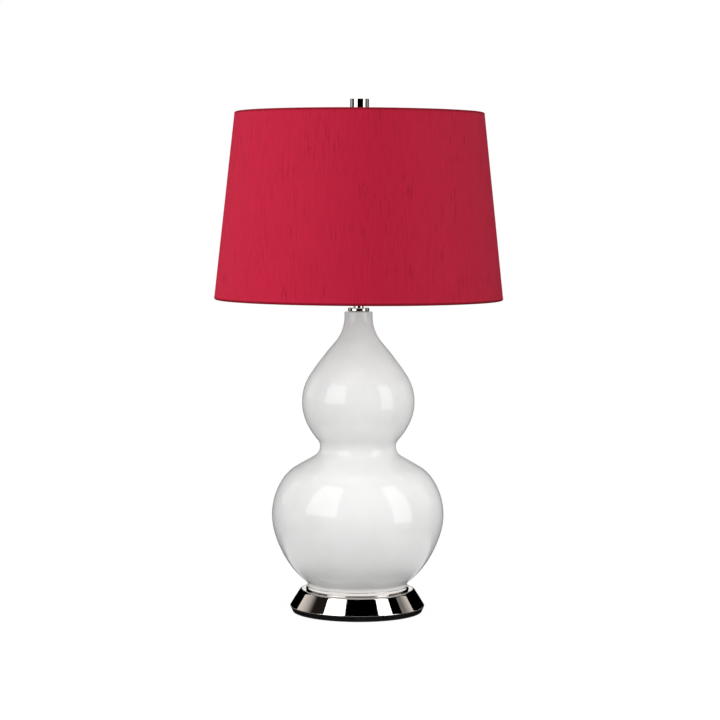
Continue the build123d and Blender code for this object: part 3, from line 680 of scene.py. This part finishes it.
cover = {
    "topRadius": 0.1627, "topHeight": 0.6558, "lowRadius": 0.1892, "lowHeight": 0.4116,
    "cloth": 0.0006, "lining": 0.0005, "wire": 0.00145,
    "gap": 0.00004,                         # between two layers of cloth at the seam
    "roll": 0.00015,                        # the cloth over a wire stands a little proud of the wall
    "rollStart": 0.0010, "rollEnd": 0.0026,
    "hemShadeWide": 0.0007, "tailShade": 0.3,     # painted shade darkening each hem's roll: how far it fades down the wall, and its share on the tails
    "tail": 0.009, "tuck": 0.0027,          # hem behind each wire, and how far it leans to the lining
    "leanFrom": 0.0015, "leanOver": 0.0045,
    "seamAt": 168.0,                        # degrees round from the front
    "overlap": 0.010, "turnedIn": 0.008, "ramp": 0.006,
    "armsAt": (-60.0, 60.0), "backArm": 180.0, "notch": 0.0021, "notchTurn": 102.0,
    "hemStep": 0.0004, "hemRows": 15, "plainFrom": 0.008, "plainRows": 28,
    "columns": 400, "uneven": 0.00007,
    "cutShift": 1.6,                        # brings the flat cut near its picture's origin
}


def coverSection(c):
    # the strip's middle line in the section plane, from the lower tail's end round the lower wire,
    # up the wall, round the upper wire and down to the upper tail's end, with its run in metres
    up = np.array([c["topRadius"] - c["lowRadius"], c["topHeight"] - c["lowHeight"]])
    up /= np.linalg.norm(up)
    out = np.array([up[1], -up[0]])
    fold = c["wire"] + c["lining"] / 2 + c["cloth"] / 2
    low = (np.array([c["lowRadius"], c["lowHeight"]]) - out * (c["cloth"] / 2 + fold)
           + up * (fold + c["cloth"] / 2))
    top = (np.array([c["topRadius"], c["topHeight"]]) - out * (c["cloth"] / 2 + fold)
           - up * (fold + c["cloth"] / 2))
    back = np.linspace(c["tail"], 0, 12)[:-1, None]
    lean = np.clip((back - c["leanFrom"]) / c["leanOver"], 0, 1)
    lean = c["tuck"] * lean * lean * (3 - 2 * lean)
    turn = np.linspace(0, math.pi, 13)[:, None]
    lap = fold + c["roll"] * np.sin(turn / 2) ** 2
    whole = np.linalg.norm(top - low)
    near = np.arange(1, c["hemRows"] + 1) * c["hemStep"]
    plain = np.linspace(c["plainFrom"], whole - c["plainFrom"], c["plainRows"])
    rise = np.concatenate([near, plain, whole - near[::-1]])[:, None]
    edge = np.minimum(rise, whole - rise)
    down = np.clip((edge - c["rollStart"]) / (c["rollEnd"] - c["rollStart"]), 0, 1)
    lowTail = low - out * fold + up * back + out * lean
    lowTurn = low - lap * (out * np.cos(turn) + up * np.sin(turn))
    wall = low + out * (fold + c["roll"] * (1 - down * down * (3 - 2 * down))) + rise / whole * (top - low)
    topTurn = top + lap[::-1] * (out * np.cos(turn) + up * np.sin(turn))
    topTail = (top - out * fold - up * back + out * lean)[::-1]
    path = np.concatenate([lowTail, lowTurn, wall, topTurn, topTail])
    run = np.concatenate([[0], np.cumsum(np.linalg.norm(np.diff(path, axis=0), axis=1))])
    shoulder = run[len(lowTail) + len(lowTurn) + len(wall)]
    # painted shade for the hems: full on both turns round the wires, fading down the wall from each edge, and
    # a lesser share on the tails behind the wires
    rim = np.concatenate([np.full(len(lowTail), c["tailShade"]), np.ones(len(lowTurn)),
                          np.exp(-(edge[:, 0] / c["hemShadeWide"]) ** 2),
                          np.ones(len(topTurn)), np.full(len(topTail), c["tailShade"])])
    return path, sideways(path), run, shoulder, fold, rim


def coverColumns(c, layer):
    # the strip's way round: angle from the front and lift off the lining; its outer end rises
    # over the inner end, is turned in and lies doubled on it
    middle = (c["topRadius"] + c["lowRadius"]) / 2
    seam, half = math.radians(c["seamAt"]), c["overlap"] / 2 / middle
    ramp = c["ramp"] / middle
    start, end = seam - 2 * math.pi - half, seam + half
    plain = np.linspace(start, end - 2 * half - ramp, c["columns"])
    notches = []
    for at in (*c["armsAt"], c["backArm"] - 360):
        side = c["notch"] / c["topRadius"] * np.array([-1.12, -1.0, -0.5, 0, 0.5, 1.0, 1.12])
        notches.append(math.radians(at) + side)
    plain = np.unique(np.concatenate([plain, *notches]))
    rise = np.linspace(0, 1, 9)[1:]
    turn = np.linspace(0, math.pi, 9)
    doubled = np.linspace(0, c["turnedIn"] / middle, 7)[1:]
    angle = np.concatenate([
        plain, end - 2 * half - ramp + rise * ramp, end - 2 * half + rise * (2 * half - layer / middle),
        end - layer / middle + layer / 2 / middle * np.sin(turn),
        end - layer / middle - doubled])
    lift = np.concatenate([
        np.zeros(len(plain)), 2 * layer * rise * rise * (3 - 2 * rise), np.full_like(rise, 2 * layer),
        1.5 * layer + 0.5 * layer * np.cos(turn), np.full_like(doubled, layer)])
    steps = np.hypot(np.diff(angle) * middle, np.diff(lift))
    cutAngle = start + np.concatenate([[0], np.cumsum(steps)]) / middle
    return angle, lift, cutAngle


def coverPiece(c):
    path, normal, run, shoulder, fold, hemShadeShare = coverSection(c)
    layer = c["cloth"] + c["gap"]
    angle, lift, cutAngle = coverColumns(c, layer)
    # past the upper shoulder the strip is shorter at the arms, which leaves a notch for each
    past = np.clip(run - shoulder, 0, None)
    whole, short = past[-1], math.radians(c["notchTurn"]) * fold
    share = np.ones_like(angle)
    for at in (*c["armsAt"], c["backArm"], c["backArm"] - 360):
        share = np.where(np.abs(angle - math.radians(at)) < c["notch"] / c["topRadius"] * 1.05,
                         short / whole, share)
    along = np.minimum(run, shoulder)[:, None] + past[:, None] * share[None, :]
    a = np.repeat(angle[None, :], len(run), axis=0)
    r, z, nr, nz = (np.interp(along, run, values) for values in (*path.T, *normal.T))
    swell = lift[None, :] + c["uneven"] * ripple(a, z, 21.0, 5)
    r, z = r + swell * nr, z + swell * nz
    middle = np.stack([r * np.sin(a), -r * np.cos(a), z], axis=-1)
    across, upward = np.gradient(middle, axis=1), np.gradient(middle, axis=0)
    facing = np.cross(across, upward)
    facing /= np.linalg.norm(facing, axis=2, keepdims=True)
    # one point halfway up the wall tells whether facing points away from the axis
    probe = (len(run) // 2, 10)
    if (facing[probe] * middle[probe] * (1, 1, 0)).sum() < 0:
        facing = -facing
    skins = np.stack([middle + facing * c["cloth"] / 2, middle - facing * c["cloth"] / 2])
    count, width = a.shape
    face = gridFaces(count, width, False, False)
    front, behind = face, face[:, ::-1] + count * width
    index = np.arange(count * width).reshape(count, width)
    rim = np.concatenate([index[0, :-1], index[:-1, -1], index[-1, :0:-1], index[:0:-1, 0]])
    following = np.roll(rim, -1)
    sides = np.stack([rim, rim + count * width, following + count * width, following], axis=-1)
    piece = makePiece("shadeCloth", skins.reshape(-1, 3), np.concatenate([front, behind, sides]))
    # the flat cut is a ring sector: distance from the cone's tip and turn about it
    lean = (c["lowRadius"] - c["topRadius"]) / math.hypot(
        c["lowRadius"] - c["topRadius"], c["topHeight"] - c["lowHeight"])
    reach = c["lowRadius"] / lean + fold * math.pi + c["tail"] - along
    turn = np.repeat(cutAngle[None, :], count, axis=0) * lean
    flat = np.stack([reach * np.sin(turn), c["cutShift"] - reach * np.cos(turn)], axis=-1).reshape(-1, 2)
    flat = np.concatenate([flat, flat])
    corner = np.zeros(len(piece.data.loops), np.int32)
    piece.data.loops.foreach_get("vertex_index", corner)
    piece.data.uv_layers.new(name="flatCut").data.foreach_set("uv", flat[corner].astype(np.float32).ravel())
    # the hems' painted shade is kept on the cloth as its point attribute rim
    wearAndShade = np.tile(np.interp(along, run, hemShadeShare).ravel(), 2).astype(np.float32)
    piece.data.attributes.new("rim", "FLOAT", "POINT").data.foreach_set("value", wearAndShade)
    cutTurn = (cutAngle[-1] - cutAngle[0]) * lean
    outerReach, innerReach = reach.max(), reach.min()
    area = cutTurn / 2 * (outerReach ** 2 - innerReach ** 2)
    size = (2 * outerReach * math.sin(cutTurn / 2), outerReach - innerReach * math.cos(cutTurn / 2))
    print("shade cut", [round(s, 4) for s in size], "area", round(area, 4))
    return piece, size, area


shadeCloth, cutSize, cutArea = coverPiece(cover)
dress(shadeCloth, "shade_fabric", "shade")
print("shade cover made")

studio = {
    "white": 1.0,             # what the camera and reflections see past the lamp
    "ambient": 0.925,         # the plain light from all round
    "floorPale": 0.42,        # how much of the light on the floor comes back to the lamp
    "floorGlow": 1.053, "floorShare": 0.92,   # the glow where the floor is seen, and its share there
    "floorRadius": 7, "floorSides": 96, "floorDrop": 0.0002,
    # each lamp's name, place, what it looks at, size, power, and whether it lights only the
    # shade's cloth (INCLUDE) or everything but that (EXCLUDE)
    "lamps": [
        ("frontLeft", (-1.3, -1.5, 0.9), (0, 0, 0.3), (0.8, 1.4), 12.0, "EXCLUDE"),
        ("frontRight", (1.5, -1.3, 0.85), (0, 0, 0.3), (0.8, 1.4), 12.0, "EXCLUDE"),
        ("shadeKey", (-1.8, -0.38, 0.6), (0, 0, 0.53), (0.5, 0.8), 12.8, "INCLUDE"),
        ("shadeFill", (0.2, -2.0, 0.8), (0, 0, 0.53), (0.5, 0.8), 5.3, "INCLUDE"),
    ],
}


def seenDirectly(tree):
    # 1 for what the camera sees, straight, in a reflection or through glass
    path = tree.nodes.new("ShaderNodeLightPath")
    seen = path.outputs["Is Camera Ray"]
    for other in ("Is Glossy Ray", "Is Transmission Ray"):
        both = tree.nodes.new("ShaderNodeMath")
        both.operation = "MAXIMUM"
        tree.links.new(seen, both.inputs[0])
        tree.links.new(path.outputs[other], both.inputs[1])
        seen = both.outputs[0]
    return seen


def skyLight():
    # white to the camera and in reflections, and the plain ambient level to everything else
    world = bpy.data.worlds.new("studioAir")
    scene.world = world
    world.use_nodes = True
    tree = world.node_tree
    level = tree.nodes.new("ShaderNodeMapRange")
    tree.links.new(seenDirectly(tree), level.inputs["Value"])
    level.inputs["To Min"].default_value = studio["ambient"]
    level.inputs["To Max"].default_value = studio["white"]
    background = tree.nodes["Background"]
    tree.links.new(level.outputs["Result"], background.inputs["Strength"])
    background.inputs["Color"].default_value = (1, 1, 1, 1)


def paleFloor():
    # a wide pale disc; where it is seen, a glow brings it to white but for the lamp's soft shadow
    mesh = bpy.data.meshes.new("floor")
    ring = np.linspace(0, 2 * math.pi, studio["floorSides"], endpoint=False)
    points = np.stack([studio["floorRadius"] * np.cos(ring), studio["floorRadius"] * np.sin(ring),
                       np.full_like(ring, -studio["floorDrop"])], axis=-1)
    mesh.from_pydata(points.tolist(), [], [list(range(studio["floorSides"]))])
    floor = bpy.data.objects.new("floor", mesh)
    scene.collection.objects.link(floor)
    material = bpy.data.materials.new("paleFloor")
    material.use_nodes = True
    tree = material.node_tree
    tree.nodes.remove(tree.nodes["Principled BSDF"])
    plain = tree.nodes.new("ShaderNodeBsdfDiffuse")
    plain.inputs["Color"].default_value = (*[studio["floorPale"]] * 3, 1)
    glow = tree.nodes.new("ShaderNodeEmission")
    glow.inputs["Strength"].default_value = studio["floorGlow"]
    share = tree.nodes.new("ShaderNodeMath")
    share.operation = "MULTIPLY"
    share.inputs[1].default_value = studio["floorShare"]
    tree.links.new(seenDirectly(tree), share.inputs[0])
    mix = tree.nodes.new("ShaderNodeMixShader")
    tree.links.new(share.outputs[0], mix.inputs["Fac"])
    tree.links.new(plain.outputs[0], mix.inputs[1])
    tree.links.new(glow.outputs[0], mix.inputs[2])
    tree.links.new(mix.outputs[0], tree.nodes["Material Output"].inputs["Surface"])
    mesh.materials.append(material)


def mirrored(name, points, faces, level, colour=(1, 1, 1)):
    # something of the room that shows in reflections only; level is its glow at each point
    piece = makePiece(name, points.reshape(-1, 3), faces, closed=False)
    piece.data.attributes.new("level", "FLOAT", "POINT").data.foreach_set(
        "value", level.astype(np.float32).ravel())
    material = bpy.data.materials.new(name)
    material.use_nodes = True
    tree = material.node_tree
    tree.nodes.remove(tree.nodes["Principled BSDF"])
    held = tree.nodes.new("ShaderNodeAttribute")
    held.attribute_name = "level"
    glow = tree.nodes.new("ShaderNodeEmission")
    glow.inputs["Color"].default_value = (*colour, 1)
    tree.links.new(held.outputs["Fac"], glow.inputs["Strength"])
    tree.links.new(glow.outputs[0], tree.nodes["Material Output"].inputs["Surface"])
    piece.data.materials.append(material)
    piece.visible_camera = False
    piece.visible_diffuse = False
    piece.visible_transmission = False
    piece.visible_volume_scatter = False
    piece.visible_shadow = False


# what the polished foot and the glaze mirror: name, height, distance, colour, then turn from the
# front in degrees (left is negative) and the glow there
surroundings = [
    ("darkDrape", (0.0, 1.9), 1.42, (1, 1, 1), [(-180, 0), (180, 0)]),
    ("frontDrape", (1.9, 3.3), 1.42, (1, 1, 1), [(-105, 0), (105, 0)]),
    ("leftSoftbox", (0.25, 2.00), 1.20, (1, 1, 1), [(-70.5, 2.1), (-27, 2.1)]),
    ("rightSoftbox", (0.02, 1.90), 1.20, (1, 1, 1), [(46, 2.1), (73.5, 2.1)]),
    ("leftDim", (0.30, 1.20), 1.30, (1.0, 0.86, 0.78), [(-94, 0.014), (-72, 0.014)]),
    ("leftScreen", (0.30, 1.00), 1.30, (1.0, 0.93, 0.88),
     [(-127.8, 0.84), (-126, 0.81), (-119, 0.70), (-112, 0.58), (-106, 0.42), (-102, 0.27), (-98, 0.10),
      (-94, 0.01)]),
    ("rightScreen", (0.30, 1.00), 1.30, (1.0, 0.95, 0.88),
     [(93, 0.21), (101, 0.21), (103, 0.29), (107, 0.43), (110, 0.50), (113, 0.64), (116, 0.70),
      (117.7, 0.71)]),
    ("whiteBackdrop", (0.15, 0.60), 1.38, (1, 1, 1), [(171, 0.95), (189, 0.95)]),
]


def wallPatch(name, height, distance, colour, glows):
    # part of an upright cylinder round the lamp: x = d sin t, y = -d cos t
    columns, across = 97, 5
    turn, glow = np.array(glows, float).T
    steps = np.linspace(turn[0], turn[-1], columns)
    t, z = np.meshgrid(np.radians(steps), np.linspace(*height, across), indexing="ij")
    points = np.stack([distance * np.sin(t), -distance * np.cos(t), z], axis=-1)
    level = np.repeat(np.interp(steps, turn, glow)[:, None], across, axis=1)
    mirrored(name, points, gridFaces(columns, across, False, False), level, colour)


floorTurns = np.linspace(-math.pi, math.pi, 145)
edgeOf = {
    "apron": 0.34, "behind": 0.185,           # how far the pale paper reaches, and how much less behind
    "turnsAt": 100, "turnsOver": 45, "fade": 0.08, "darkTo": 1.42,
    "felt": 0.0855, "contact": 0.175,         # the shadow close round the lamp
}


def apronEdge(beyond):
    # the paper's edge for each of the floorTurns, moved out by beyond, less so behind the lamp
    behind = np.clip((np.degrees(np.abs(floorTurns)) - edgeOf["turnsAt"]) / edgeOf["turnsOver"], 0, 1)
    return edgeOf["apron"] + beyond - (edgeOf["behind"] + 0.9 * beyond) * behind * behind * (3 - 2 * behind)


def floorPatch(name, height, inner, outer, glows):
    # a flat ring on the floor, between two radii that are given for each of the floorTurns or once;
    # glows are its levels at even steps from the inner edge to the outer
    columns, across = len(floorTurns), 9
    t = floorTurns[:, None]
    share = np.linspace(0, 1, across)[None, :]
    inner, outer = (np.broadcast_to(edge, columns)[:, None] for edge in (inner, outer))
    r = inner * (1 - share) + outer * share
    points = np.stack([r * np.sin(t), -r * np.cos(t), np.full_like(r, height)], axis=-1)
    level = np.repeat(np.interp(share, np.linspace(0, 1, len(glows)), glows), columns, axis=0)
    mirrored(name, points, gridFaces(columns, across, False, False), level)


def areaLamp(name, at, toward, size, power, state):
    # a soft lamp; state says how its light is linked to the shade's cloth
    data = bpy.data.lights.new(name, "AREA")
    data.shape = "RECTANGLE"
    data.size, data.size_y = size
    data.energy = power
    lamp = bpy.data.objects.new(name, data)
    lamp.location = at
    lamp.rotation_euler = (Vector(toward) - Vector(at)).to_track_quat("-Z", "Y").to_euler()
    lamp.visible_glossy = False
    lamp.visible_camera = False
    scene.collection.objects.link(lamp)
    linked = bpy.data.collections.new(name + "Linked")
    linked.objects.link(shadeCloth)
    linked.collection_objects[0].light_linking.link_state = state
    lamp.light_linking.receiver_collection = linked


skyLight()
paleFloor()
for patch in surroundings:
    wallPatch(*patch)
floorPatch("apronFade", 0.0004, apronEdge(-edgeOf["fade"]), apronEdge(edgeOf["fade"]), (1, 0))
floorPatch("darkApron", 0.0004, apronEdge(edgeOf["fade"]), edgeOf["darkTo"], (0, 0))
floorPatch("contactShade", 0.0003, edgeOf["felt"], edgeOf["contact"],
           (0, 0.02, 0.12, 0.4, 0.65, 0.8, 0.9, 0.96, 1))
for lamp in studio["lamps"]:
    areaLamp(*lamp)
print("studio made")

view = {"at": (0.0021, -3.0, 0.54), "toward": (0.0021, 0.0, 0.332), "lens": 114.53,
        "roll": 0.27}             # degrees that the picture leans to the right
cameraData = bpy.data.cameras.new("camera")
cameraData.lens = view["lens"]
cameraData.sensor_width = 36
camera = bpy.data.objects.new("camera", cameraData)
camera.location = view["at"]
aim = (Vector(view["toward"]) - Vector(view["at"])).to_track_quat("-Z", "Y")
camera.rotation_euler = (aim @ Quaternion((0, 0, 1), math.radians(view["roll"]))).to_euler()
scene.collection.objects.link(camera)
scene.camera = camera

print("done")
